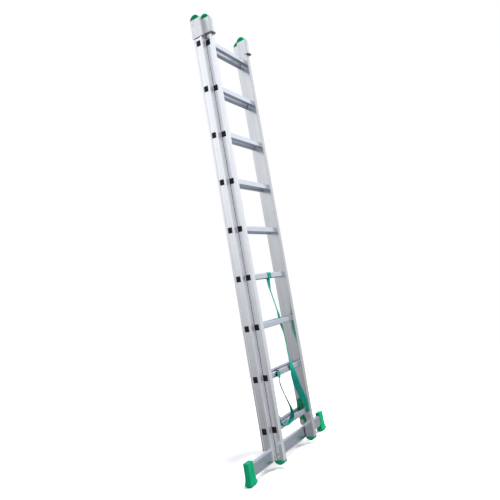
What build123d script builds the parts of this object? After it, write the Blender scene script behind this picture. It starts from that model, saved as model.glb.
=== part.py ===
from build123d import *
import math
import os

# Two-section aluminium extension ladder. Millimetres, +Z up along the stiles,
# X along the rungs, the fly section in front (-Y) of the base section.
# Z = 0 is the floor under the stabiliser bar's feet.

os.makedirs("parts", exist_ok=True)

# ---- driving dimensions ---------------------------------------------------
PITCH = 280.0            # rung spacing
RUNGS = 9                # rungs in each section
Z_RUNG_1 = 207.0         # centre of the bottom rung above the floor
Y_FLY = -14.8            # middle of the fly stiles and rungs
Y_BASE = Y_FLY + 45.0    # middle of the base stiles and rungs
FLY_HALF = 208.0         # fly, outside face of a stile from the centre
BASE_HALF = 242.0        # base, outside face of a stile from the centre
STILE_T = 30.0           # stile, across the rungs
STILE_D = 59.2           # stile, front to back
WALL = 2.0               # stile wall
LIP = 11.0               # width of the lips on the outside of a stile
RECESS = 3.0             # how far the outside web stands back from the lips
RUNG_D = 26.0            # rung, front to back
RUNG_H = 32.0            # rung height
RUNG_R = 4.0             # rung corner radius
RUNG_WALL = 1.8
FLUTE = 1.1              # anti-slip flutes on the tread
PLUG_T = 1.6
TOP = Z_RUNG_1 + 2388.0  # top ends of the stiles
FLY_BOTTOM = Z_RUNG_1 - 163.0
STRIP_BOTTOM = Z_RUNG_1 - 157.0
BAR_TOP = Z_RUNG_1 - 105.0
BAR_H = 64.0
BAR_D = 25.0
BAR_Y0 = Y_FLY + 33.0    # front face of the bar
BAR_HALF = 448.0
BAR_WALL = 2.0
FOOT_IN, FOOT_OUT = 404.0, 456.0
CAP_H = 30.0
BRACKET_LOW = Z_RUNG_1 + 2276.0
CHAMBER_LOW = Z_RUNG_1 + 2291.0
BRACKET_WALL = 3.0
STRAP_W = 38.0           # webbing width
STRAP_R = 2.5            # plain round core that stands for the webbing
PIN_R = 3.0              # latch pivot
LATCH_Y = Y_FLY + 22.0
LATCH_Z = Z_RUNG_1 - 62.0
HOOK_IN, HOOK_T = 177.9, 16.0


def rung_z(n):
    return Z_RUNG_1 + (n - 1) * PITCH


def box(x0, x1, y0, y1, z0, z1):
    return Pos((x0 + x1) / 2, (y0 + y1) / 2, (z0 + z1) / 2) * Box(x1 - x0, y1 - y0, z1 - z0)


def flip(shape):
    return mirror(shape, about=Plane.YZ)


def side_prism(points, x0, x1):
    # a side view outline (Y, Z) carried from x0 to x1
    face = make_face(Polyline(*[(x0, y, z) for y, z in points], close=True).edges())
    return extrude(face, amount=x1 - x0, dir=(1, 0, 0))


def write(name, shape):
    if isinstance(shape, (list, tuple)):
        shape = Compound(children=[s for s in shape])
    shape.label = name
    export_step(shape, "parts/" + name + ".step")


# ---- stiles ---------------------------------------------------------------
def stile_section(x_out, y_mid):
    # plan outline of a left-hand stile; x_out is its outside face
    h = STILE_D / 2
    pts = [(x_out, y_mid - h), (x_out + STILE_T, y_mid - h), (x_out + STILE_T, y_mid + h),
           (x_out, y_mid + h), (x_out, y_mid + h - LIP), (x_out + RECESS, y_mid + h - LIP - 2.4),
           (x_out + RECESS, y_mid - h + LIP + 2.4), (x_out, y_mid - h + LIP)]
    outline = make_face(Polyline(*pts, close=True).edges())
    sharp = [v for v in outline.vertices() if abs(abs(v.Y - y_mid) - h) < 0.01]
    outline = fillet(sharp, 2.6)
    lips = [v for v in outline.vertices()
            if abs(v.X - x_out) < 0.01 and abs(abs(v.Y - y_mid) - (h - LIP)) < 0.01]
    outline = fillet(lips, 1.2)
    xv0, xv1 = x_out + RECESS + WALL, x_out + STILE_T - WALL
    void = Pos((xv0 + xv1) / 2, y_mid) * RectangleRounded(xv1 - xv0, 2 * h - 2 * WALL, 1.5)
    for s in (-1, 1):
        void += Pos(x_out + WALL + 2.0, y_mid + s * (h - LIP / 2 - 0.6)) * Rectangle(5.0, 5.6)
    return outline - void


def rung_outline():
    return RectangleRounded(RUNG_D, RUNG_H, RUNG_R)


def along_x(sketch, x0, x1, y, z):
    # a section drawn front-to-back by height, carried along X
    plane = Plane(origin=(x0, y, z), x_dir=(0, 1, 0), z_dir=(1, 0, 0))
    return extrude(plane * sketch, amount=x1 - x0)


def make_stile(x_out, y_mid, z0, z1, holes):
    solid = extrude(Pos(0, 0, z0) * stile_section(x_out, y_mid), amount=z1 - z0)
    for n in range(1, RUNGS + 1):
        solid -= along_x(rung_outline(), x_out - 1, x_out + STILE_T + 1, y_mid, rung_z(n))
    for c in holes:
        solid -= c
    return solid


def pin_x(x0, x1, y, z, r):
    return Plane(origin=(x0, y, z), x_dir=(0, 1, 0), z_dir=(1, 0, 0)) * Cylinder(
        r, x1 - x0, align=(Align.CENTER, Align.CENTER, Align.MIN))


def pin_y(x, y0, y1, z, r):
    return Plane(origin=(x, y0, z), x_dir=(1, 0, 0), z_dir=(0, 1, 0)) * Cylinder(
        r, y1 - y0, align=(Align.CENTER, Align.CENTER, Align.MIN))


def rivet_x(x_face, side, y, z, r=3.4, grip=5.0, shank=2.2, head=1.5):
    # domed rivet through a wall whose visible face is at x_face; side is the way its head faces
    h = pin_x(min(x_face, x_face + side * head), max(x_face, x_face + side * head), y, z, r)
    edge = [e for e in h.edges().filter_by(GeomType.CIRCLE)
            if abs(e.center().X - (x_face + side * head)) < 0.01]
    h = fillet(edge, head * 0.7)
    s = pin_x(min(x_face, x_face - side * grip), max(x_face, x_face - side * grip), y, z, shank)
    return h + s


# rivets through the lower rear corner of each base stile
BASE_RIV = [(Y_BASE + 20.0, BAR_TOP + 12.0), (Y_BASE - 12.0, BAR_TOP + 12.0)]
# rivets above each fly foot
FOOT_RIV = [(Y_FLY - 12.0, FLY_BOTTOM + 14.0), (Y_FLY + 12.0, FLY_BOTTOM + 14.0)]
# rivets that hold the rung hooks on the inside face of the fly
HOOK_RIV = [(Y_FLY + 22.5, Z_RUNG_1 + 62.0), (Y_FLY + 22.5, Z_RUNG_1 + 30.0)]
ANCHOR_Z = {"left": Z_RUNG_1 + 54.0, "right": Z_RUNG_1 - 21.0}
ANCHOR_Y = Y_FLY - 21.0


def fly_holes(side):
    x = -FLY_HALF
    cuts = [pin_x(x - 1, x + 12, y, z, 2.2) for y, z in FOOT_RIV]
    cuts += [pin_x(x + STILE_T - 4, x + STILE_T + 1, y, z, 2.2) for y, z in HOOK_RIV]
    cuts += [pin_x(x + STILE_T - 6, x + STILE_T + 1, LATCH_Y, LATCH_Z, PIN_R)]
    cuts += [pin_x(x + STILE_T - 4, x + STILE_T + 1, ANCHOR_Y, ANCHOR_Z[side], 2.2)]
    return cuts


fly_left = make_stile(-FLY_HALF, Y_FLY, FLY_BOTTOM, TOP, fly_holes("left"))
fly_right = flip(make_stile(-FLY_HALF, Y_FLY, FLY_BOTTOM, TOP, fly_holes("right")))
write("fly_stile_left", fly_left)
write("fly_stile_right", fly_right)

BAR_BOLT_X, BAR_BOLT_Z = BASE_HALF - 15.0, BAR_TOP - BAR_H / 2
base_cuts = [box(-BASE_HALF - 1, -BASE_HALF + STILE_T + 1, BAR_Y0, Y_BASE + 40, STRIP_BOTTOM - 1, BAR_TOP)]
base_cuts += [pin_x(-BASE_HALF - 1, -BASE_HALF + 8, y, z, 2.2) for y, z in BASE_RIV]
base_cuts += [pin_y(-BAR_BOLT_X, Y_BASE - 35, BAR_Y0 + 1, BAR_BOLT_Z, 4.0)]
BRK_RIV = [(Y_BASE + 16.0, TOP - 30.0), (Y_BASE + 16.0, TOP - 86.0), (Y_BASE - 16.0, TOP - 30.0)]
base_cuts += [pin_x(-BASE_HALF - 1, -BASE_HALF + 8, y, z, 2.2) for y, z in BRK_RIV]
base_left = make_stile(-BASE_HALF, Y_BASE, STRIP_BOTTOM, TOP, base_cuts)
write("base_stile_left", base_left)
write("base_stile_right", flip(base_left))


# ---- rungs ----------------------------------------------------------------
def rung(half, y, z):
    sec = rung_outline() - RectangleRounded(RUNG_D - 2 * RUNG_WALL - 0.6, RUNG_H - 2 * RUNG_WALL - 2.4, 2.4)
    for i in range(-4, 5):
        sec -= Pos(i * 2.2, RUNG_H / 2) * Rectangle(1.1, 2 * FLUTE)
    x = half - RECESS
    return along_x(sec, -x, x, y, z)


for n in range(1, RUNGS + 1):
    write("fly_rung_%d" % n, rung(FLY_HALF, Y_FLY, rung_z(n)))
    write("base_rung_%d" % n, rung(BASE_HALF, Y_BASE, rung_z(n)))


def plug(x_web, y, z):
    # closes a rung's left end: a thin flange on the web and a stub inside the rung
    f = along_x(RectangleRounded(RUNG_D + 1.0, RUNG_H + 1.0, 3.0), x_web - PLUG_T, x_web, y, z)
    s = along_x(RectangleRounded(RUNG_D - 2 * RUNG_WALL - 1.0, RUNG_H - 2 * RUNG_WALL - 3.0, 2.0),
                x_web, x_web + 9.0, y, z)
    return f + s


for part, half, y in (("fly", FLY_HALF, Y_FLY), ("base", BASE_HALF, Y_BASE)):
    left = [plug(-half + RECESS, y, rung_z(n)) for n in range(1, RUNGS + 1)]
    write(part + "_rung_plugs", left + [flip(s) for s in left])


# ---- end caps -------------------------------------------------------------
def cap(x_out, y_mid, z, over, low):
    # half-round cap with a rounded crown on a stile's top end, and a plug in its hollow
    x0, x1 = x_out - over, x_out + STILE_T + over
    h = STILE_D / 2 + over
    arc = ThreePointArc((x0, y_mid - h, z + 7.0), (x0, y_mid, z + CAP_H), (x0, y_mid + h, z + 7.0))
    rest = Polyline((x0, y_mid + h, z + 7.0), (x0, y_mid + h, z + low), (x0, y_mid - h, z + low),
                    (x0, y_mid - h, z + 7.0))
    body = extrude(make_face(arc.edges() + rest.edges()), amount=x1 - x0, dir=(1, 0, 0))
    crown = [e for e in body.edges().filter_by(GeomType.CIRCLE)]
    body = fillet(crown, 6.0)
    for k in (-1, 0, 1):
        body -= box(x_out + 10 + 0 * k, x_out + 20, y_mid + k * 14 - 1.5, y_mid + k * 14 + 1.5, z + CAP_H - 9, z + 40)
    xv0, xv1 = x_out + RECESS + WALL + 0.3, x_out + STILE_T - WALL - 0.3
    stub = Pos((xv0 + xv1) / 2, y_mid, z - 22) * extrude(
        RectangleRounded(xv1 - xv0, STILE_D - 2 * WALL - 0.6, 2.0), amount=23)
    return body + stub


fly_cap = cap(-FLY_HALF, Y_FLY, TOP, 0.6, 0.0)
base_cap = cap(-BASE_HALF, Y_BASE, TOP, 2.4, 0.0)
write("fly_cap_left", fly_cap)
write("fly_cap_right", flip(fly_cap))
write("base_cap_left", base_cap)
write("base_cap_right", flip(base_cap))

# ---- guide brackets at the head of the base section ------------------------
bx0, bx1 = -BASE_HALF - BRACKET_WALL, -BASE_HALF + STILE_T + 2.4
y_rear = Y_BASE + STILE_D / 2 + BRACKET_WALL
rear = Pos((bx0 + bx1) / 2, (Y_FLY + 4 + y_rear) / 2) * RectangleRounded(bx1 - bx0, y_rear - Y_FLY - 4, 4.5)
bore = Pos(-BASE_HALF + STILE_T / 2, Y_BASE) * RectangleRounded(STILE_T, STILE_D, 2.5)
rear_sleeve = extrude(Pos(0, 0, BRACKET_LOW) * (rear - bore), amount=TOP - BRACKET_LOW)

cx0, cx1 = -FLY_HALF - 5.4, -FLY_HALF + STILE_T + 5.0
cy0, cy1 = Y_FLY - 41.0, Y_FLY + 12.0
front = Pos((cx0 + cx1) / 2, (cy0 + cy1) / 2) * Rectangle(cx1 - cx0, cy1 - cy0)
front = fillet([v for v in front.vertices() if v.Y < cy0 + 1], 13.0)
clear_ = Pos(-FLY_HALF + STILE_T / 2, Y_FLY + 5.0) * Rectangle(STILE_T + 3.4, 2 * 42.4)
clear_ = fillet([v for v in clear_.vertices() if v.Y < Y_FLY - 30], 10.5)
front = front - clear_
front = front - Pos(-FLY_HALF + STILE_T + 4.0, Y_FLY + 12.0) * Rectangle(9.0, 56.0)
chamber = extrude(Pos(0, 0, CHAMBER_LOW) * front, amount=TOP - 3.0 - CHAMBER_LOW)
# the mouth of the front chamber opens outward at its foot, in a bell that rises to the rear
def mouth(grow_x, grow_y, wall):
    xm0, xm1, ym0 = cx0 - grow_x, cx1 + 0.4 * grow_x, cy0 - grow_y
    f = Pos((xm0 + xm1) / 2, (ym0 + cy1) / 2) * Rectangle(xm1 - xm0, cy1 - ym0)
    f = fillet([v for v in f.vertices() if v.Y < ym0 + 1], 12.0 + grow_y / 2)
    w = wall
    g = Pos((xm0 + xm1) / 2, (ym0 + w + cy1 + 1) / 2) * Rectangle(xm1 - xm0 - 2 * w, cy1 + 1 - ym0 - w)
    g = fillet([v for v in g.vertices() if v.Y < ym0 + w + 1], 9.5 + grow_y / 2)
    return f, g


rings = [(CHAMBER_LOW + 22.0, mouth(0.0, 0.0, 2.6)), (CHAMBER_LOW + 6.0, mouth(2.6, 3.2, 2.6)), (CHAMBER_LOW - 3.0, mouth(7.0, 8.5, 2.6))]
bell = loft([Pos(0, 0, z) * r[0] for z, r in rings], ruled=True) - loft([Pos(0, 0, z) * r[1] for z, r in rings], ruled=True)
# open toward the rungs, and cut on a slope so that the rear edge is the higher one
bell -= box(cx1 - 6.0, cx1 + 20, cy0 + 22, cy1 + 5, CHAMBER_LOW - 10, CHAMBER_LOW + 30)
slope = [(cy0 + 14, CHAMBER_LOW - 12), (cy0 + 26, CHAMBER_LOW - 1), (cy1 - 6, CHAMBER_LOW + 5), (cy1 + 3, CHAMBER_LOW - 1),
         (cy1 + 3, CHAMBER_LOW - 12)]
bell -= side_prism(slope, cx0 - 20, cx1 + 20)
bell -= box(cx0 - 30, -BASE_HALF + STILE_T + 1.5, Y_BASE - STILE_D / 2 - 1.5, cy1 + 5, CHAMBER_LOW - 20, CHAMBER_LOW + 40)
rear_lip = box(bx1 - 0.6, bx1 + 18.0, Y_FLY + 31.2, Y_FLY + 34.2, BRACKET_LOW + 6, TOP - 6)
bracket = rear_sleeve + chamber + bell + rear_lip
for y, z in BRK_RIV:
    bracket -= pin_x(bx0 - 1, -BASE_HALF + 1, y, z, 2.2)
bracket -= box(bx0 + 7, bx1 - 7, Y_FLY + 7, Y_BASE - STILE_D / 2 - 3, BRACKET_LOW - 1, TOP - 8)
write("guide_bracket_left", bracket)
write("guide_bracket_right", flip(bracket))
brk_riv = [rivet_x(bx0, -1, y, z, r=3.2, grip=BRACKET_WALL + 6.0, head=1.2) for y, z in BRK_RIV]
write("guide_bracket_rivets", brk_riv + [flip(s) for s in brk_riv])

# ---- stabiliser bar and its feet -------------------------------------------
bar_y = BAR_Y0 + BAR_D / 2
bar_z = BAR_TOP - BAR_H / 2
bar = along_x(RectangleRounded(BAR_D, BAR_H, 2.5) - RectangleRounded(BAR_D - 2 * BAR_WALL, BAR_H - 2 * BAR_WALL, 1.0),
              -BAR_HALF, BAR_HALF, bar_y, bar_z)
for s in (-1, 1):
    bar -= pin_y(s * BAR_BOLT_X, BAR_Y0 - 1, BAR_Y0 + BAR_D + 1, BAR_BOLT_Z, 4.0)
    bar -= pin_y(s * 430.0, BAR_Y0 - 1, BAR_Y0 + BAR_D + 1, bar_z + 8, 2.2)
write("stabiliser_bar", bar)


def bar_foot():
    # right-hand foot: a sleeve on the bar that widens down to a rubber-soled shoe
    top = BAR_TOP + 14.0
    mid = bar_z - BAR_H / 2 - 5.0
    yc = bar_y
    secs = [(top - 3.0, 50.0, 30.6), (mid + 26.0, 52.0, 31.6), (34.0, 55.0, 34.0), (15.0, 64.0, 41.0),
            (9.0, 64.0, 41.0), (0.0, 54.0, 24.0)]
    xc = (FOOT_IN + FOOT_OUT) / 2
    loop = [Plane.XY.offset(z) * (Pos(xc, yc) * RectangleRounded(w, d, 4.0)) for z, w, d in secs]
    body = loft(loop, ruled=True)
    body += box(xc - 25, xc + 25, yc - 15.3, yc + 15.3, top - 3.2, top)
    # grooves across the sole
    for k in (-2, -1, 0, 1, 2):
        body -= box(xc + k * 13 - 1.2, xc + k * 13 + 1.2, yc - 30, yc + 30, -1, 3.0)
    body -= box(FOOT_IN - 10, BAR_HALF, BAR_Y0, BAR_Y0 + BAR_D, BAR_TOP - BAR_H, BAR_TOP)
    body -= pin_y(430.0, yc - 14, yc + 30, bar_z + 8, 2.2)
    return body


foot_r = bar_foot()
write("bar_foot_right", foot_r)
write("bar_foot_left", flip(foot_r))


def dome_y(x, y_face, side, z, r, head, shank_r, length):
    a, b = sorted((y_face, y_face + side * head))
    h = pin_y(x, a, b, z, r)
    edge = [e for e in h.edges().filter_by(GeomType.CIRCLE) if abs(e.center().Y - (y_face + side * head)) < 0.01]
    h = fillet(edge, head * 0.6)
    a, b = sorted((y_face, y_face - side * length))
    return h + pin_y(x, a, b, z, shank_r)


# blind rivets, set from behind
yf = bar_y + 15.72
foot_riv = [dome_y(s * 430.0, yf, 1, bar_z + 8, 3.4, 1.6, 2.2, 29.0) for s in (-1, 1)]
write("bar_foot_rivets", foot_riv)

y_strip = Y_BASE - STILE_D / 2
bolts = [dome_y(s * BAR_BOLT_X, y_strip, -1, BAR_BOLT_Z, 7.0, 3.6, 4.0, BAR_Y0 + BAR_D + 9.0 - y_strip)
         for s in (-1, 1)]
write("bar_bolts", bolts)
nuts = []
for s in (-1, 1):
    pl = Plane(origin=(s * BAR_BOLT_X, BAR_Y0 + BAR_D, BAR_BOLT_Z), x_dir=(1, 0, 0), z_dir=(0, 1, 0))
    nuts.append(extrude(pl * (RegularPolygon(7.5, 6) - Circle(4.0)), amount=6.5))
write("bar_nuts", nuts)

# filler blocks inside the foot of each base stile, seated on the bar
xb0, xb1 = -BASE_HALF + RECESS + WALL + 0.2, -BASE_HALF + STILE_T - WALL - 0.2
block = Pos((xb0 + xb1) / 2, Y_BASE, BAR_TOP) * extrude(
    RectangleRounded(xb1 - xb0, STILE_D - 2 * WALL - 0.4, 2.0), amount=26)
block -= box(xb0 - 1, xb1 + 1, Y_BASE - 40, BAR_Y0 - 4, BAR_TOP - 1, BAR_TOP + 8)
for y, z in BASE_RIV:
    block -= pin_x(xb0 - 1, xb0 + 8, y, z, 2.2)
write("base_foot_block_left", block)
write("base_foot_block_right", flip(block))
xr = {0: -BASE_HALF, 1: -BASE_HALF + RECESS}
riv = []
for i, (y, z) in enumerate(BASE_RIV):
    on_lip = abs(y - Y_BASE) > STILE_D / 2 - LIP
    riv.append(rivet_x(-BASE_HALF if on_lip else -BASE_HALF + RECESS, -1, y, z, grip=7.0 if on_lip else 6.0))
write("base_stile_rivets", riv + [flip(s) for s in riv])


# ---- fly feet ---------------------------------------------------------------
def fly_foot():
    x0, x1 = -FLY_HALF - 0.8, -FLY_HALF + STILE_T + 0.8
    z = FLY_BOTTOM
    h = STILE_D / 2 + 0.4
    arc = ThreePointArc((x0, Y_FLY - h, z - 7.0), (x0, Y_FLY, z - 23.0), (x0, Y_FLY + h, z - 7.0))
    rest = Polyline((x0, Y_FLY + h, z - 7.0), (x0, Y_FLY + h, z), (x0, Y_FLY - h, z), (x0, Y_FLY - h, z - 7.0))
    body = extrude(make_face(arc.edges() + rest.edges()), amount=x1 - x0, dir=(1, 0, 0))
    for k in range(-3, 4):
        y = Y_FLY + k * 8.2
        body -= box(x0 - 1, x1 + 1, y - 1.3, y + 1.3, z - 30, z - 19.2 + abs(k) * 1.5 + (0.6 if abs(k) == 3 else 0))
    xv0, xv1 = -FLY_HALF + RECESS + WALL + 0.3, -FLY_HALF + STILE_T - WALL - 0.3
    body += Pos((xv0 + xv1) / 2, Y_FLY, z - 1) * extrude(
        RectangleRounded(xv1 - xv0, STILE_D - 2 * WALL - 0.6, 2.0), amount=27)
    for y, zz in FOOT_RIV:
        body -= pin_x(xv0 - 1, xv0 + 8, y, zz, 2.2)
    return body


ff = fly_foot()
write("fly_foot_left", ff)
write("fly_foot_right", flip(ff))
fr = [rivet_x(-FLY_HALF + RECESS, -1, y, z, r=3.0, grip=7.0) for y, z in FOOT_RIV]
write("fly_foot_rivets", fr + [flip(s) for s in fr])

# ---- rung hooks and safety latches ------------------------------------------
zr = Z_RUNG_1 + RUNG_H / 2


def rung_hook():
    # left-hand hook on the fly, standing over the front half of the base rung
    x0 = -FLY_HALF + STILE_T + 0.0
    pts = [(16.0, 74.0), (27.0, 74.0), (35.0, 68.0), (43.0, 44.0), (46.0, 22.0), (46.0, 16.3),
           (30.4, 16.3), (30.4, -12.0), (27.0, -17.0), (18.5, -17.0), (16.0, -13.0)]
    body = side_prism([(Y_FLY + a, Z_RUNG_1 + b) for a, b in pts], x0, x0 + HOOK_T)
    body = fillet([e for e in body.edges().filter_by(Axis.X)
                   if e.center().Z > Z_RUNG_1 + 40 or e.center().Z < Z_RUNG_1 - 10], 1.6)
    for y, z in HOOK_RIV:
        body -= pin_x(x0 - 1, x0 + HOOK_T + 1, y, z, 2.2)
    return body


hook = rung_hook()
write("rung_hook_left", hook)
write("rung_hook_right", flip(hook))
x_in = -FLY_HALF + STILE_T
hr = [rivet_x(x_in + HOOK_T, 1, y, z, r=4.0, grip=HOOK_T + 2.0) for y, z in HOOK_RIV]
write("rung_hook_rivets", hr + [flip(s) for s in hr])


def latch():
    x0, x1 = x_in + 2.0, x_in + 2.0 + 12.0
    pts = [(14.8, -58.0), (24.0, -34.0), (33.0, -18.6), (49.0, -18.6), (52.5, -27.0), (40.0, -48.0), (29.0, -68.0)]
    body = side_prism([(Y_FLY + a, Z_RUNG_1 + b) for a, b in pts], x0, x1)
    body = body & pin_x(x0 - 1, x1 + 1, LATCH_Y, LATCH_Z, 44.4)      # tip swings clear under hook and rung
    body += pin_x(x0, x1, LATCH_Y, LATCH_Z, 9.0)
    tail = [(14.0, -62.0), (13.4, -76.0), (18.0, -79.0), (24.0, -76.0), (27.0, -66.0)]
    body += side_prism([(Y_FLY + a, Z_RUNG_1 + b) for a, b in tail], x0 + 2, x1 - 2)
    body -= pin_x(x0 - 1, x1 + 1, LATCH_Y, LATCH_Z, PIN_R + 0.05)
    return body


lt = latch()
write("safety_latch_left", lt)
write("safety_latch_right", flip(lt))
lp = pin_x(x_in - 4.0, x_in + 22.0, LATCH_Y, LATCH_Z, PIN_R) + pin_x(x_in + 20.4, x_in + 22.4, LATCH_Y, LATCH_Z, 6.0)
lp += pin_x(x_in, x_in + 1.7, LATCH_Y, LATCH_Z, 6.5)
write("latch_pins", [lp, flip(lp)])
# torsion springs: close-wound rings between the latch and the pin's head
spring = []
for i in range(3):
    xs = x_in + 15.2 + i * 1.8
    ring = Plane(origin=(xs, LATCH_Y, LATCH_Z), x_dir=(0, 1, 0), z_dir=(1, 0, 0)) * Torus(4.6, 0.8)
    spring.append(ring)
write("latch_springs", spring + [flip(s) for s in spring])


# ---- strap hardware -----------------------------------------------------------
def anchor(side):
    # riveted clip on the inside face of a fly stile, with the strap's end sewn round its bar
    z = ANCHOR_Z[side]
    body = box(x_in, x_in + 12.0, ANCHOR_Y - 7.5, ANCHOR_Y + 7.0, z - 10.0, z + 10.0)
    body = fillet([e for e in body.edges().filter_by(Axis.X)], 2.0)
    body -= pin_x(x_in - 1, x_in + 13, ANCHOR_Y, z, 2.2)
    return body


an_l = anchor("left")
an_r = flip(anchor("right"))
write("strap_anchor_left", an_l)
write("strap_anchor_right", an_r)
ar_l = rivet_x(x_in + 12.0, 1, ANCHOR_Y, ANCHOR_Z["left"], r=4.2, grip=14.0)
ar_r = flip(rivet_x(x_in + 12.0, 1, ANCHOR_Y, ANCHOR_Z["right"], r=4.2, grip=14.0))
write("strap_anchor_rivets", [ar_l, ar_r])


def band(xc, w, n, t):
    # a loop that fits round a fly rung
    outer = RectangleRounded(RUNG_D + 2 * t, RUNG_H + 2 * t, RUNG_R + t)
    return along_x(outer - rung_outline(), xc - w / 2, xc + w / 2, Y_FLY, rung_z(n))


KEEP_L, KEEP_R = -86.0, 78.0
write("strap_keeper_left", band(KEEP_L, 12.0, 2, 2.4))
write("strap_keeper_right", band(KEEP_R, 12.0, 2, 2.4))
LOOP_X = 6.0
write("strap_loop", band(LOOP_X, STRAP_W, 4, 2.0))

# ---- straps -------------------------------------------------------------------
YF = Y_FLY
ZR = Z_RUNG_1
ROUTE_RIGHT = [(6, YF + 0, ZR + 822.0), (10.5, YF + 3, ZR + 764.7), (35.5, YF + 8, ZR + 708.7), (67.5, YF + 14, ZR + 642.2),
               (92.2, YF + 19, ZR + 575.5), (102.8, YF + 20, ZR + 532.0), (109.0, YF + 16, ZR + 488.0), (99.5, YF + 7, ZR + 429.9),
               (77.2, YF - 5, ZR + 366.4), (62, YF - 18, ZR + 318), (65.5, YF - 23.5, ZR + 276), (71.5, YF - 23, ZR + 240),
               (80, YF - 22.5, ZR + 204), (91, YF - 22, ZR + 168.4), (118.3, YF - 22, ZR + 116.9), (143.5, YF - 22.4, ZR + 65.3),
               (161.0, YF - 22.5, ZR + 27.8), (172.0, YF - 21.0, ZR - 11.0)]
ROUTE_LEFT = [(-86, YF - 18.3, ZR + 289.0), (-94.8, YF - 20.5, ZR + 265.4), (-106.3, YF - 24, ZR + 239.9),
              (-102.5, YF - 28, ZR + 202.4), (-85.5, YF - 32, ZR + 153), (-64.9, YF - 35, ZR + 107.5), (-47, YF - 36, ZR + 69.8),
              (-41.7, YF - 35, ZR + 36.7), (-60.6, YF - 33, ZR + 12.7), (-95.8, YF - 29, ZR - 1.4), (-129.8, YF - 25, ZR - 1.7),
              (-151.8, YF - 22.5, ZR + 8.5), (-163.8, YF - 21, ZR + 27), (-172.0, YF - 21.0, ZR + 44.0)]


def cord(route, r, name):
    pts = [Vector(*p) for p in route]
    radii = []
    for a, b, c in zip(pts, pts[1:], pts[2:]):
        u, v = b - a, c - b
        turn = math.radians(u.get_angle(v))
        radii.append(0.45 * min(u.length, v.length) / math.tan(turn / 2))
    path = FilletPolyline(*pts, radius=radii)
    start = Plane(origin=pts[0], z_dir=(pts[1] - pts[0]))
    tube = sweep(start * Circle(r), path=path)
    length = path.length
    print(name, "length %.1f" % length, "volume ratio %.4f" % (tube.volume / (math.pi * r * r * length)),
          "radii", [round(q) for q in radii])
    write(name, tube)
    return tube


strap_r = cord(ROUTE_RIGHT, STRAP_R, "strap_right")
strap_l = cord(ROUTE_LEFT, STRAP_R, "strap_left")
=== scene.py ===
import math

import bpy
from mathutils import Matrix, Vector


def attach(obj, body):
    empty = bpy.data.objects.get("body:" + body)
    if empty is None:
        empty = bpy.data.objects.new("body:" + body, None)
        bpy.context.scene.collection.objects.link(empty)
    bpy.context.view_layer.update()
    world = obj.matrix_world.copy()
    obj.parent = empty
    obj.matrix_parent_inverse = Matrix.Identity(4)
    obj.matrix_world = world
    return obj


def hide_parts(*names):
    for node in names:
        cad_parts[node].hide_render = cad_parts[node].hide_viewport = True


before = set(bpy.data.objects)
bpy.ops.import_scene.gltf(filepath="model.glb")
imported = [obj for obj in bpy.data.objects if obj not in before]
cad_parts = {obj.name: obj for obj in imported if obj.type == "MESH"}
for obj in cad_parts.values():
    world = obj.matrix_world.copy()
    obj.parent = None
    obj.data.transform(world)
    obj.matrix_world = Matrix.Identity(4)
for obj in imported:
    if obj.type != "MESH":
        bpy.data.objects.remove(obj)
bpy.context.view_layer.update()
scene = bpy.context.scene

# ---- camera -----------------------------------------------------------------
cam_data = bpy.data.cameras.new("camera")
cam_data.sensor_width = 36.0
cam_data.lens = 34.75
cam = bpy.data.objects.new("camera", cam_data)
scene.collection.objects.link(cam)
right = Vector((0.53831308, -0.8255974, -0.16913888))
up = Vector((0.01489351, -0.1913488, 0.9814091))
fwd = Vector((0.84261332, 0.53082443, 0.09070952))
m = Matrix.Identity(4)
for r in range(3):
    m[r][0], m[r][1], m[r][2] = right[r], up[r], -fwd[r]
m.translation = Vector((-2.47706, -1.48814, 0.95281))
cam.matrix_world = m
scene.camera = cam

# ---- routes of the two straps, in metres --------------------------------------
YF, ZR = -0.0148, 0.207
ROUTE_RIGHT = [(0.006, YF, ZR + 0.822), (0.0105, YF + 0.003, ZR + 0.7647), (0.0355, YF + 0.008, ZR + 0.7087),
               (0.0675, YF + 0.014, ZR + 0.6422), (0.0922, YF + 0.019, ZR + 0.5755), (0.1028, YF + 0.020, ZR + 0.532),
               (0.109, YF + 0.016, ZR + 0.488), (0.0995, YF + 0.007, ZR + 0.4299), (0.0772, YF - 0.005, ZR + 0.3664),
               (0.062, YF - 0.018, ZR + 0.318), (0.0655, YF - 0.0235, ZR + 0.276), (0.0715, YF - 0.023, ZR + 0.240),
               (0.080, YF - 0.0225, ZR + 0.204), (0.091, YF - 0.022, ZR + 0.1684), (0.1183, YF - 0.022, ZR + 0.1169),
               (0.1435, YF - 0.0224, ZR + 0.0653), (0.161, YF - 0.0225, ZR + 0.0278), (0.172, YF - 0.021, ZR - 0.011)]
ROUTE_LEFT = [(-0.086, YF - 0.0183, ZR + 0.289), (-0.0948, YF - 0.0205, ZR + 0.2654), (-0.1063, YF - 0.024, ZR + 0.2399),
              (-0.1025, YF - 0.028, ZR + 0.2024), (-0.0855, YF - 0.032, ZR + 0.153), (-0.0649, YF - 0.035, ZR + 0.1075),
              (-0.047, YF - 0.036, ZR + 0.0698), (-0.0425, YF - 0.0355, ZR + 0.0367), (-0.0625, YF - 0.0345, ZR + 0.0127),
              (-0.1005, YF - 0.0318, ZR - 0.0014), (-0.1350, YF - 0.0280, ZR - 0.0017), (-0.1555, YF - 0.0245, ZR + 0.0085),
              (-0.1638, YF - 0.021, ZR + 0.027), (-0.172, YF - 0.021, ZR + 0.044)]
STRAP_W, STRAP_T = 0.038, 0.0018


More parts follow.
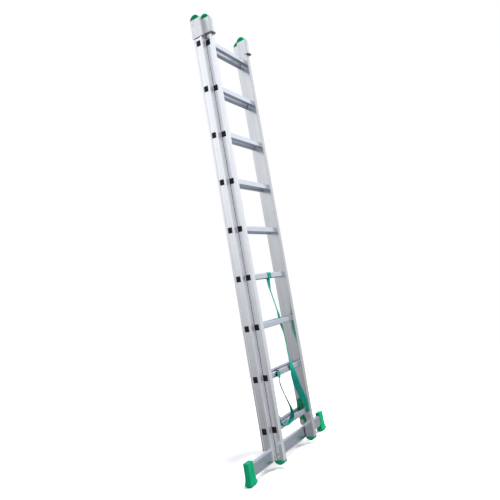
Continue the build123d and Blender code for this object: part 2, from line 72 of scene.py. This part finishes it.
def spline_points(route, name):
    # the route's own smooth line, read back as points
    cu = bpy.data.curves.new(name, "CURVE")
    cu.dimensions = "3D"
    sp = cu.splines.new("NURBS")
    sp.points.add(len(route) - 1)
    for p, q in zip(sp.points, route):
        p.co = (*q, 1.0)
    sp.order_u = 3
    sp.use_endpoint_u = True
    sp.resolution_u = 10
    ob = bpy.data.objects.new(name, cu)
    scene.collection.objects.link(ob)
    me = bpy.data.meshes.new_from_object(ob)
    pts = [v.co.copy() for v in me.vertices]
    bpy.data.objects.remove(ob)
    bpy.data.curves.remove(cu)
    bpy.data.meshes.remove(me)
    return pts


# ---- node helpers ---------------------------------------------------------------
def mat(name):
    ma = bpy.data.materials.new(name)
    ma.use_nodes = True
    nt = ma.node_tree
    bsdf = next(n for n in nt.nodes if n.type == "BSDF_PRINCIPLED")
    return ma, nt, bsdf


def link(nt, a, b):
    nt.links.new(a, b)


def coords(nt, scale, kind="Object"):
    tc = nt.nodes.new("ShaderNodeTexCoord")
    mp = nt.nodes.new("ShaderNodeMapping")
    mp.inputs["Scale"].default_value = scale
    link(nt, tc.outputs[kind], mp.inputs["Vector"])
    return mp.outputs["Vector"]


def noise(nt, vec, scale, detail=3.0, rough=0.55):
    n = nt.nodes.new("ShaderNodeTexNoise")
    n.inputs["Scale"].default_value = scale
    n.inputs["Detail"].default_value = detail
    n.inputs["Roughness"].default_value = rough
    link(nt, vec, n.inputs["Vector"])
    return n.outputs["Fac"]


def remap(nt, val, a, b, c, d):
    n = nt.nodes.new("ShaderNodeMapRange")
    for i, v in enumerate((a, b, c, d)):
        n.inputs[i + 1].default_value = v
    link(nt, val, n.inputs[0])
    return n.outputs[0]


def ramp(nt, val, stops):
    n = nt.nodes.new("ShaderNodeValToRGB")
    el = n.color_ramp.elements
    while len(el) > 1:
        el.remove(el[-1])
    el[0].position, el[0].color = stops[0][0], (*stops[0][1], 1)
    for pos, col in stops[1:]:
        e = el.new(pos)
        e.color = (*col, 1)
    link(nt, val, n.inputs[0])
    return n.outputs[0]


def math_node(nt, op, a, b=None, clamp=False):
    n = nt.nodes.new("ShaderNodeMath")
    n.operation = op
    n.use_clamp = clamp
    for i, v in enumerate((a, b)):
        if v is None:
            continue
        if isinstance(v, (int, float)):
            n.inputs[i].default_value = v
        else:
            link(nt, v, n.inputs[i])
    return n.outputs[0]


def mix_col(nt, fac, a, b, mode="MIX"):
    n = nt.nodes.new("ShaderNodeMix")
    n.data_type = "RGBA"
    n.blend_type = mode
    for i, v in ((0, fac), (6, a), (7, b)):
        if isinstance(v, (int, float)):
            n.inputs[i].default_value = v
        elif isinstance(v, tuple):
            n.inputs[i].default_value = (*v, 1)
        else:
            link(nt, v, n.inputs[i])
    return n.outputs[2]


def bump(nt, bsdf, height, strength, distance, prev=None):
    n = nt.nodes.new("ShaderNodeBump")
    n.inputs["Strength"].default_value = strength
    n.inputs["Distance"].default_value = distance
    link(nt, height, n.inputs["Height"])
    if prev is not None:
        link(nt, prev, n.inputs["Normal"])
    link(nt, n.outputs[0], bsdf.inputs["Normal"])
    return n.outputs[0]


# ---- materials ------------------------------------------------------------------
def coord_x(nt):
    tc = nt.nodes.new("ShaderNodeTexCoord")
    sep = nt.nodes.new("ShaderNodeSeparateXYZ")
    link(nt, tc.outputs["Object"], sep.inputs[0])
    return sep.outputs[0]


def aluminium(name, along, dark, light, rough, streak=0.35, grain=0.05, edge_rough_and_painted_light=0.0):
    """extruded aluminium with die lines along one axis"""
    ma, nt, b = mat(name)
    fine = [520.0, 520.0, 520.0]
    fine[along] = 2.2
    wide = [75.0, 75.0, 75.0]
    wide[along] = 0.7
    lines = noise(nt, coords(nt, fine), 1.0, 4.0, 0.6)
    bands = noise(nt, coords(nt, wide), 1.0, 2.0, 0.5)
    cloud = noise(nt, coords(nt, (1, 1, 1)), 9.0, 4.0, 0.6)
    handled = noise(nt, coords(nt, (1, 1, 1)), 55.0, 5.0, 0.65)
    t = math_node(nt, "ADD", math_node(nt, "MULTIPLY", lines, streak), math_node(nt, "MULTIPLY", bands, 1 - streak))
    col = ramp(nt, t, [(0.30, dark), (0.72, light)])
    col = mix_col(nt, remap(nt, cloud, 0.35, 0.75, 0.0, 0.16), col, tuple(c * 0.80 for c in dark))
    link(nt, col, b.inputs["Base Color"])
    b.inputs["Metallic"].default_value = 1.0
    r = math_node(nt, "ADD", remap(nt, lines, 0.3, 0.7, rough[0], rough[1]), remap(nt, handled, 0.45, 0.8, 0.0, 0.07))
    if edge_rough_and_painted_light:
        # the narrow front and rear faces are ribbed and rougher, the webs are plain: told apart by the face's own
        # direction. These faces also get a lighter base colour, which is a painted highlight.
        tc = nt.nodes.new("ShaderNodeTexCoord")
        sep = nt.nodes.new("ShaderNodeSeparateXYZ")
        link(nt, tc.outputs["Normal"], sep.inputs[0])
        f = remap(nt, math_node(nt, "ABSOLUTE", sep.outputs[1]), 0.35, 0.75, 0.0, 1.0)
        r = math_node(nt, "ADD", r, math_node(nt, "MULTIPLY", f, edge_rough_and_painted_light), True)
        rib = math_node(nt, "SINE", math_node(nt, "MULTIPLY", coord_x(nt), 2 * math.pi / 0.0030))
        # painted highlight: the front and rear faces are mixed towards a lighter colour than the webs
        col_painted_highlight = mix_col(nt, math_node(nt, "MULTIPLY", f, 0.75), col, tuple(min(1.0, c * 1.10) for c in light))
        link(nt, col_painted_highlight, b.inputs["Base Color"])
        n0 = bump(nt, b, math_node(nt, "MULTIPLY", rib, f), 0.30, 0.0004)
        n1 = bump(nt, b, lines, grain, 0.0004, n0)
    else:
        n1 = bump(nt, b, lines, grain, 0.0004)
    link(nt, r, b.inputs["Roughness"])
    bump(nt, b, cloud, 0.05, 0.002, n1)
    return ma


A_DARK, A_LIGHT = (0.70, 0.71, 0.745), (0.86, 0.87, 0.895)
m_stile = aluminium("aluminium_stile", 2, A_DARK, A_LIGHT, (0.13, 0.24), 0.45, 0.05, 0.34)
# painted shade: the right stiles get a darker copy of the stile aluminium, standing in for the light the left stile
# blocks from their inner faces
m_stile_right_painted_shade = aluminium("aluminium_stile_right_painted_shade", 2, tuple(c * 0.74 for c in A_DARK), tuple(c * 0.76 for c in A_LIGHT),
                      (0.13, 0.24), 0.45, 0.05, 0.34)
# painted shade: the rungs get a darker copy of the aluminium, so their fronts read darker than the stile fronts that
# face the same way
m_rung_painted_shade = aluminium("aluminium_rung_painted_shade", 0, (0.60, 0.65, 0.73), (0.76, 0.81, 0.89), (0.22, 0.36), 0.45, 0.08)
m_bar = aluminium("aluminium_bar", 0, (0.55, 0.59, 0.68), (0.70, 0.74, 0.82), (0.24, 0.38), 0.4, 0.06)


def cast_metal(name, lo, hi, rough):
    ma, nt, b = mat(name)
    v = coords(nt, (1, 1, 1))
    g = noise(nt, v, 900.0, 3.0, 0.6)
    c = noise(nt, v, 40.0, 4.0, 0.6)
    link(nt, ramp(nt, c, [(0.3, lo), (0.7, hi)]), b.inputs["Base Color"])
    b.inputs["Metallic"].default_value = 1.0
    link(nt, remap(nt, g, 0.3, 0.7, rough[0], rough[1]), b.inputs["Roughness"])
    n1 = bump(nt, b, g, 0.12, 0.0004)
    bump(nt, b, c, 0.08, 0.001, n1)
    return ma


m_bracket = cast_metal("bracket_metal", (0.62, 0.63, 0.66), (0.76, 0.77, 0.79), (0.34, 0.52))
m_steel = cast_metal("zinc_steel", (0.50, 0.51, 0.53), (0.68, 0.69, 0.70), (0.26, 0.42))


def plastic(name, base, worn, rough, grain=0.25, spec=0.45):
    ma, nt, b = mat(name)
    v = coords(nt, (1, 1, 1))
    g = noise(nt, v, 1500.0, 2.0, 0.5)
    c = noise(nt, v, 28.0, 5.0, 0.6)
    flow = noise(nt, coords(nt, (60, 60, 9)), 1.0, 3.0, 0.5)
    vor = nt.nodes.new("ShaderNodeTexVoronoi")
    vor.inputs["Scale"].default_value = 170.0
    link(nt, v, vor.inputs["Vector"])
    scuff = remap(nt, vor.outputs["Distance"], 0.0, 0.16, 1.0, 0.0)
    scuff = math_node(nt, "MULTIPLY", scuff, remap(nt, c, 0.58, 0.78, 0.0, 0.5), True)
    t = math_node(nt, "ADD", math_node(nt, "MULTIPLY", c, 0.55), math_node(nt, "MULTIPLY", flow, 0.45))
    dark = tuple(x * 0.78 for x in base)
    col = ramp(nt, t, [(0.3, dark), (0.55, base), (0.8, tuple(min(1, x * 1.18) for x in base))])
    col = mix_col(nt, scuff, col, worn)
    link(nt, col, b.inputs["Base Color"])
    link(nt, math_node(nt, "ADD", remap(nt, c, 0.3, 0.75, rough[0], rough[1]), math_node(nt, "MULTIPLY", scuff, 0.25), True),
         b.inputs["Roughness"])
    b.inputs["Specular IOR Level"].default_value = spec
    n1 = bump(nt, b, g, grain, 0.00035)
    bump(nt, b, flow, 0.06, 0.001, n1)
    return ma


m_green = plastic("green_moulded", (0.0003, 0.182, 0.080), (0.004, 0.218, 0.114), (0.46, 0.62), 0.25, 0.06)
m_hook = plastic("green_hook", (0.004, 0.170, 0.075), (0.04, 0.25, 0.14), (0.38, 0.52), 0.25, 0.22)
m_black = plastic("black_moulded", (0.0035, 0.0040, 0.0085), (0.020, 0.021, 0.030), (0.42, 0.60), 0.3, 0.22)


def webbing(name, base):
    """flat woven webbing, drawn in metres on the piece's own UVs: u across, v along"""
    ma, nt, b = mat(name)
    tc = nt.nodes.new("ShaderNodeTexCoord")
    sep = nt.nodes.new("ShaderNodeSeparateXYZ")
    link(nt, tc.outputs["UV"], sep.inputs[0])
    u, v = sep.outputs[0], sep.outputs[1]
    warp = math_node(nt, "SINE", math_node(nt, "MULTIPLY", u, 2 * math.pi / 0.0019))
    skew = math_node(nt, "ADD", math_node(nt, "MULTIPLY", v, 2 * math.pi / 0.0032),
                     math_node(nt, "MULTIPLY", math_node(nt, "SIGN", warp), math.pi / 2))
    weft = math_node(nt, "SINE", skew)
    h = math_node(nt, "MULTIPLY", math_node(nt, "ABSOLUTE", warp),
                  math_node(nt, "ADD", math_node(nt, "MULTIPLY", weft, 0.35), 0.65))
    v3 = coords(nt, (1, 1, 1))
    fibre = noise(nt, v3, 2600.0, 2.0, 0.5)
    soil = noise(nt, v3, 32.0, 4.0, 0.6)
    dark = tuple(x * 0.55 for x in base)
    light = tuple(min(1, x * 1.30 + 0.004) for x in base)
    col = ramp(nt, h, [(0.0, dark), (0.5, base), (1.0, light)])
    col = mix_col(nt, remap(nt, soil, 0.4, 0.8, 0.0, 0.30), col, tuple(x * 0.7 + 0.01 for x in base))
    edge = remap(nt, math_node(nt, "ABSOLUTE", math_node(nt, "SUBTRACT", u, STRAP_W / 2)), 0.0158, 0.0166, 0.0, 0.35)
    col = mix_col(nt, edge, col, dark)
    link(nt, col, b.inputs["Base Color"])
    link(nt, remap(nt, fibre, 0.3, 0.7, 0.62, 0.85), b.inputs["Roughness"])
    b.inputs["Sheen Weight"].default_value = 0.03
    b.inputs["Sheen Roughness"].default_value = 0.45
    b.inputs["Specular IOR Level"].default_value = 0.08
    n1 = bump(nt, b, h, 0.55, 0.0005)
    bump(nt, b, fibre, 0.2, 0.0002, n1)
    return ma


m_web = webbing("woven_webbing", (0.0003, 0.172, 0.132))


def thread(name, base):
    ma, nt, b = mat(name)
    g = noise(nt, coords(nt, (1, 1, 1)), 4200.0, 2.0, 0.5)
    link(nt, ramp(nt, g, [(0.3, tuple(x * 0.6 for x in base)), (0.7, base)]), b.inputs["Base Color"])
    link(nt, remap(nt, g, 0.3, 0.7, 0.45, 0.7), b.inputs["Roughness"])
    bump(nt, b, g, 0.3, 0.0002)
    return ma


m_thread = thread("sewing_thread", (0.010, 0.120, 0.085))

SLOT_MAT = {"aluminium": m_stile, "cast_aluminium": m_bracket, "green_plastic": m_green, "black_plastic": m_black,
            "webbing": m_web, "steel": m_steel}


def finish_of(name):
    if "stile_" in name and not name.endswith("rivets"):
        # the right stiles take the darker copy, which is painted shade
        return m_stile_right_painted_shade if name.endswith("right") else m_stile
    if name.startswith(("fly_rung_", "base_rung_")) and not name.endswith("plugs"):
        # the rungs take the darker copy, which is painted shade
        return m_rung_painted_shade
    if name == "stabiliser_bar":
        return m_bar
    if name.endswith("plugs") or name.startswith(("strap_keeper", "base_foot_block")):
        return m_black
    if name.startswith("guide_bracket_") and not name.endswith("rivets"):
        return m_bracket
    if name.startswith(("rung_hook_", "safety_latch_")):
        return m_hook
    if name.startswith(("base_cap", "fly_cap", "bar_foot_l", "bar_foot_ri", "fly_foot_l", "fly_foot_ri")) \
            and not name.endswith("rivets"):
        return m_green
    if name.startswith(("strap_left", "strap_right", "strap_loop")):
        return m_web
    return m_steel


for name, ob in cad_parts.items():
    ma = finish_of(name)
    if not ob.material_slots:
        ob.data.materials.append(ma)
    for s in ob.material_slots:
        s.material = ma


# ---- straps ------------------------------------------------------------------------
def unit(v):
    return v.normalized()


def keyed(keys, z):
    # value at height z from (z, values...) rows that run downwards
    if z >= keys[0][0]:
        return keys[0][1:]
    for a, b in zip(keys, keys[1:]):
        if z >= b[0]:
            t = (a[0] - z) / (a[0] - b[0])
            t = t * t * (3 - 2 * t)
            return tuple(x + (y - x) * t for x, y in zip(a[1:], b[1:]))
    return keys[-1][1:]


def arc_of(pts):
    s = [0.0]
    for a, b in zip(pts, pts[1:]):
        s.append(s[-1] + (b - a).length)
    return s


def ribbon(name, pts, dirs, halves, cup=None, closed=False, across=12, thick=STRAP_T):
    """flat webbing along pts: dirs is its width direction, halves its half width at each point"""
    n = len(pts)
    s = arc_of(pts)
    tang = []
    for i in range(n):
        a = pts[i - 1] if (i or closed) else pts[i]
        b = pts[(i + 1) % n] if (i < n - 1 or closed) else pts[i]
        tang.append(unit(b - a))
    frames = []
    for i in range(n):
        w = dirs[i] - tang[i] * dirs[i].dot(tang[i])
        w = unit(w)
        if frames and w.dot(frames[-1][0]) < 0:
            w = -w
        frames.append((w, unit(tang[i].cross(w))))
    ring = []
    for j in range(across + 1):
        ring.append((-1 + 2 * j / across, 1))
    for j in range(across, -1, -1):
        ring.append((-1 + 2 * j / across, -1))
    verts, uvs = [], []
    for i in range(n):
        w, nn = frames[i]
        hw = halves[i]
        cv = cup[i] if cup else 0.0
        for a, side in ring:
            edge = 1.0 - 0.55 * max(0.0, abs(a) - 0.86) / 0.14
            off = side * thick / 2 * edge + cv * (1 - a * a)
            verts.append(pts[i] + w * (a * hw) + nn * off)
            uvs.append((a * STRAP_W / 2 * (hw / (STRAP_W / 2)) + STRAP_W / 2, s[i]))
    k = len(ring)
    faces = []
    last = n if closed else n - 1
    for i in range(last):
        i2 = (i + 1) % n
        for j in range(k):
            j2 = (j + 1) % k
            faces.append((i * k + j, i * k + j2, i2 * k + j2, i2 * k + j))
    if not closed:
        faces.append(tuple(range(k - 1, -1, -1)))
        faces.append(tuple((n - 1) * k + j for j in range(k)))
    me = bpy.data.meshes.new(name)
    me.from_pydata([tuple(v) for v in verts], [], faces)
    lay = me.uv_layers.new(name="UVMap")
    total = s[-1]
    for poly in me.polygons:
        for li in poly.loop_indices:
            vi = me.loops[li].vertex_index
            uu, vv = uvs[vi]
            if closed and poly.index >= (n - 1) * k and vi < k:
                vv = total + (pts[0] - pts[-1]).length
            lay.data[li].uv = (uu, vv)
        poly.use_smooth = True
    me.validate()
    ob = bpy.data.objects.new(name, me)
    scene.collection.objects.link(ob)
    me.materials.append(m_web)
    return ob, s, frames


def at(s, pts, frames, halves, q):
    q = max(0.0, min(s[-1], q))
    for i in range(len(s) - 1):
        if q <= s[i + 1] + 1e-9:
            t = (q - s[i]) / max(1e-9, s[i + 1] - s[i])
            p = pts[i].lerp(pts[i + 1], t)
            w = unit(frames[i][0].lerp(frames[i + 1][0], t))
            nn = unit(frames[i][1].lerp(frames[i + 1][1], t))
            return p, w, nn, halves[i] + (halves[i + 1] - halves[i]) * t
    return pts[-1], frames[-1][0], frames[-1][1], halves[-1]


def stitches(name, runs, place, both=True, r=0.00042):
    """rows of small sewn stitches; runs is a list of ((a0, q0), (a1, q1)) with a across and q along, in metres"""
    verts, faces = [], []
    for (a0, q0), (a1, q1) in runs:
        length = math.hypot(a1 - a0, q1 - q0)
        count = max(1, int(length / 0.0034))
        for k in range(count):
            f0, f1 = (k + 0.14) / count, (k + 0.86) / count
            for side in ((1, -1) if both else (1,)):
                base = len(verts)
                rows = 5
                for i in range(rows):
                    f = f0 + (f1 - f0) * i / (rows - 1)
                    p, w, nn, hw, t = place(a0 + (a1 - a0) * f, q0 + (q1 - q0) * f)
                    lift = STRAP_T / 2 + r * (0.15 + 0.55 * math.sin(math.pi * i / (rows - 1)))
                    rr = r * (0.45 + 0.55 * math.sin(math.pi * i / (rows - 1)))
                    d = unit(w * (a1 - a0) + t * (q1 - q0))
                    c = unit(d.cross(nn))
                    o = p + nn * (side * lift)
                    for q in range(6):
                        an = 2 * math.pi * q / 6
                        verts.append(o + c * (rr * math.cos(an)) + nn * (rr * math.sin(an)))
                for i in range(rows - 1):
                    for q in range(6):
                        q2 = (q + 1) % 6
                        faces.append((base + i * 6 + q, base + i * 6 + q2, base + (i + 1) * 6 + q2, base + (i + 1) * 6 + q))
                faces.append(tuple(base + 5 - q for q in range(6)))
                faces.append(tuple(base + (rows - 1) * 6 + q for q in range(6)))
    me = bpy.data.meshes.new(name)
    me.from_pydata([tuple(v) for v in verts], [], faces)
    for p in me.polygons:
        p.use_smooth = True
    ob = bpy.data.objects.new(name, me)
    scene.collection.objects.link(ob)
    me.materials.append(m_thread)
    return ob


def placer(s, pts, frames, halves):
    def place(a, q):
        p, w, nn, hw = at(s, pts, frames, halves, q)
        t = unit(w.cross(nn)) * -1
        return p + w * (a * hw / (STRAP_W / 2)), w, nn, hw, t
    return place


def plan(deg):
    a = math.radians(deg)
    return Vector((math.cos(a), math.sin(a), 0.0))


def strap(name, route, keys, node, by_height=False):
    pts = spline_points(route, name + "_line")
    if (pts[0] - Vector(route[0])).length > (pts[-1] - Vector(route[0])).length:
        pts.reverse()
    s = arc_of(pts)
    dirs, halves, cup = [], [], []
    for p, q in zip(pts, s):
        if by_height:                               # keys run down the strap by height above the bottom rung
            ang, tilt, hw, cv = keyed(keys, p.z - ZR)
        else:                                       # or by distance along it
            ang, tilt, hw, cv = keyed([(-k[0], *k[1:]) for k in keys], -q)
        d = plan(ang) * math.cos(math.radians(tilt)) + Vector((0, 0, 1)) * math.sin(math.radians(tilt))
        dirs.append(d)
        halves.append(hw / 1000)
        cup.append(cv / 1000)
    ob, s, frames = ribbon(name, pts, dirs, halves, cup)
    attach(ob, "fly_section")
    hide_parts(node)
    return ob, pts, s, frames, halves


# plan angle of the width, tilt out of plan, half width mm, cup mm
KEYS_RIGHT = [(0.822, 0, 0, 19, 0.0), (0.795, 6, 0, 19, 0.3), (0.735, 24, 0, 19, 0.8), (0.640, 24, 0, 19, 0.6),
              (0.590, 10, 0, 19, 0.0), (0.528, 10, 0, 19, 0.0), (0.480, 22, 0, 19, 0.6), (0.345, 23, 0, 19, 0.6),
              (0.312, 10, 0, 17, 0.3), (0.296, -4, 0, 16, 0.1), (0.262, -19, 0, 18, 0.1), (0.235, -36, 0, 19, 0.4),
              (0.185, -56, 0, 19, 0.7), (0.060, -58, 0, 19, 0.7), (0.038, -57, 0, 17, 0.8), (0.012, -50, 0, 10, 1.2),
              (-0.011, -58, 0, 7.5, 1.4)]
KEYS_LEFT = [(0.000, 0, 0, 17, 0.0), (0.022, 4, 0, 17, 0.0), (0.048, 36, 0, 17, 0.4), (0.075, 42, 0, 17, 0.6),
             (0.130, 43, 0, 17, 0.6), (0.175, 45, 0, 18, 0.8), (0.215, 51, 0, 18, 0.6), (0.255, 62, 0, 17.5, 0.3),
             (0.300, 86, 3, 15.5, 0.1), (0.340, 90, 4, 13, 0.1), (0.380, 90, 4, 9.5, 0.4), (0.430, 90, 4, 7.5, 0.8)]
st_r, pr, sr, fr_r, hr_r = strap("strap_right_web", ROUTE_RIGHT, KEYS_RIGHT, "strap_right", True)
st_l, pl, sl, fr_l, hr_l = strap("strap_left_web", ROUTE_LEFT, KEYS_LEFT, "strap_left")


def box_stitch(q0, q1, half):
    return [((-half, q0), (-half, q1)), ((half, q0), (half, q1)), ((-half, q0), (half, q0)), ((-half, q1), (half, q1)),
            ((-half, q0), (half, q1)), ((half, q0), (-half, q1))]


a = stitches("strap_right_stitching", box_stitch(0.006, 0.040, 0.0155) + box_stitch(sr[-1] - 0.045, sr[-1] - 0.014, 0.012),
             placer(sr, pr, fr_r, hr_r))
b = stitches("strap_left_stitching", box_stitch(0.004, 0.030, 0.0155) + box_stitch(sl[-1] - 0.040, sl[-1] - 0.012, 0.012),
             placer(sl, pl, fr_l, hr_l))
for o in (a, b):
    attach(o, "fly_section")


# ---- the sewn loop round the fourth rung ---------------------------------------------
def loop_round(name, x, y, z, width, inner_y, inner_z, corner, gap, node):
    # closed turn of webbing round a rung, a little slack under it
    hy, hz = inner_y + gap + STRAP_T / 2, inner_z + gap + STRAP_T / 2
    c = corner + gap
    pts = []
    for cy, cz, a0 in ((hy - c, hz - c, 0), (-hy + c, hz - c, 90), (-hy + c, -hz + c, 180), (hy - c, -hz + c, 270)):
        for k in range(9):
            an = math.radians(a0 + 90 * k / 8)
            pts.append(Vector((x, y + cy + c * math.cos(an), z + cz + c * math.sin(an))))
    out = []
    for p, q in zip(pts, pts[1:] + pts[:1]):
        d = (q - p).length
        steps = max(1, int(d / 0.003))
        for k in range(steps):
            v = p.lerp(q, k / steps)
            sag = max(0.0, (z - v.z) / hz) ** 2 * 0.0006
            out.append(Vector((v.x, v.y, v.z - sag)))
    dirs = [Vector((1, 0, 0))] * len(out)
    ob, s, frames = ribbon(name, out, dirs, [width / 2] * len(out), closed=True)
    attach(ob, "fly_section")
    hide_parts(node)
    return ob, out, s, frames


lp, lpts, ls, lfr = loop_round("strap_loop_web", 0.006, YF, ZR + 3 * 0.280, STRAP_W, 0.013, 0.016, 0.004, 0.0002, "strap_loop")
lh = [STRAP_W / 2] * len(lpts)
bottom = [i for i, p in enumerate(lpts) if p.z < ZR + 0.840 - 0.0165 and abs(p.y - YF) < 0.011]
q0, q1 = ls[bottom[0]], ls[bottom[-1]]
front = [i for i, p in enumerate(lpts) if p.y < YF - 0.0138 and abs(p.z - ZR - 0.840) < 0.012]
f0, f1 = ls[front[0]], ls[front[-1]]
st = stitches("strap_loop_stitching", box_stitch(min(f0, f1), max(f0, f1), 0.0155), placer(ls, lpts, lfr, lh))
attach(st, "fly_section")

# ---- floor and lights -------------------------------------------------------------------
fm, nt, b = mat("floor_pale")
fc = noise(nt, coords(nt, (1, 1, 1)), 3.0, 4.0, 0.5)
link(nt, ramp(nt, fc, [(0.3, (0.785, 0.785, 0.79)), (0.7, (0.815, 0.815, 0.82))]), b.inputs["Base Color"])
b.inputs["Roughness"].default_value = 0.85
b.inputs["Specular IOR Level"].default_value = 0.1
# the floor thins out to the pale background far from the object
sepf = nt.nodes.new("ShaderNodeVectorMath")
sepf.operation = "LENGTH"
link(nt, coords(nt, (1, 1, 0)), sepf.inputs[0])
link(nt, remap(nt, sepf.outputs["Value"], 1.0, 3.2, 1.0, 0.0), b.inputs["Alpha"])
me = bpy.data.meshes.new("floor")
S = 9.0
N = 6
gv = [(-S + 2 * S * i / N, -S + 2 * S * j / N, -0.0004) for j in range(N + 1) for i in range(N + 1)]
gf = [(j * (N + 1) + i, j * (N + 1) + i + 1, (j + 1) * (N + 1) + i + 1, (j + 1) * (N + 1) + i) for j in range(N) for i in range(N)]
me.from_pydata(gv, [], gf)
me.materials.append(fm)
floor = bpy.data.objects.new("floor", me)
scene.collection.objects.link(floor)
floor.visible_glossy = False

world = bpy.data.worlds.new("studio")
scene.world = world
world.use_nodes = True
nt = world.node_tree
nt.nodes.clear()
out = nt.nodes.new("ShaderNodeOutputWorld")
tc = nt.nodes.new("ShaderNodeTexCoord")


def lobe(direction, lo, hi, strength):
    d = nt.nodes.new("ShaderNodeVectorMath")
    d.operation = "DOT_PRODUCT"
    link(nt, tc.outputs["Generated"], d.inputs[0])
    d.inputs[1].default_value = Vector(direction).normalized()
    n = nt.nodes.new("ShaderNodeMapRange")
    n.interpolation_type = "SMOOTHSTEP"
    link(nt, d.outputs["Value"], n.inputs[0])
    for i, v in enumerate((lo, hi, 0.0, strength)):
        n.inputs[i + 1].default_value = v
    return n.outputs[0]


up_dir = nt.nodes.new("ShaderNodeSeparateXYZ")
link(nt, tc.outputs["Generated"], up_dir.inputs[0])
rise = nt.nodes.new("ShaderNodeMapRange")
rise.interpolation_type = "SMOOTHSTEP"
link(nt, up_dir.outputs[2], rise.inputs[0])
for i, v in enumerate((-0.42, 0.40, 0.0, 1.0)):
    rise.inputs[i + 1].default_value = v


def rising(direction, lo, hi, low, high):
    """a wide pale card in one direction, from low brightness near the ground to high overhead"""
    f = lobe(direction, lo, hi, 1.0)
    level = math_node(nt, "ADD", math_node(nt, "MULTIPLY", rise.outputs[0], high - low), low)
    return math_node(nt, "MULTIPLY", f, level)


parts = [lobe((0, 0, 1), 0.45, 0.95, 0.50),                       # overhead
         rising((0.84, -0.53, 0.0), 0.20, 0.88, 0.14, 0.92),      # front right
         rising((-0.84, 0.53, 0.0), 0.20, 0.90, 0.09, 1.02),      # behind on the left
         rising((0.84, 0.53, 0.0), 0.30, 0.90, 0.02, 0.50),       # behind on the right
         rising((-0.5, -0.85, 0.0), 0.20, 0.90, 0.30, 0.55)]      # front left
total = 0.22
for p in parts:
    total = math_node(nt, "ADD", total, p)
bg = nt.nodes.new("ShaderNodeBackground")
bg.inputs["Color"].default_value = (0.955, 0.975, 1.0, 1)
link(nt, total, bg.inputs["Strength"])
white = nt.nodes.new("ShaderNodeBackground")
white.inputs["Color"].default_value = (1, 1, 1, 1)
white.inputs["Strength"].default_value = 1.0
lpn = nt.nodes.new("ShaderNodeLightPath")
mix = nt.nodes.new("ShaderNodeMixShader")
link(nt, lpn.outputs["Is Camera Ray"], mix.inputs[0])
link(nt, bg.outputs[0], mix.inputs[1])
link(nt, white.outputs[0], mix.inputs[2])
link(nt, mix.outputs[0], out.inputs["Surface"])


def area(name, loc, target, size, power, col=(1, 1, 1)):
    li = bpy.data.lights.new(name, "AREA")
    li.shape = "RECTANGLE"
    li.size, li.size_y = size
    li.energy = power
    li.color = col
    ob = bpy.data.objects.new(name, li)
    scene.collection.objects.link(ob)
    ob.location = loc
    ob.rotation_euler = (Vector(target) - Vector(loc)).to_track_quat("-Z", "Y").to_euler()
    ob.visible_glossy = False
    return ob


area("top", (0.1, -1.0, 4.2), (0, 0, 0.2), (1.4, 1.4), 260, (1.0, 0.99, 0.98))
area("front", (2.4, -3.0, 2.1), (0, 0, 0.7), (1.1, 1.1), 190, (1.0, 1.0, 1.0))
scene.view_settings.view_transform = "Standard"
scene.view_settings.look = "None"
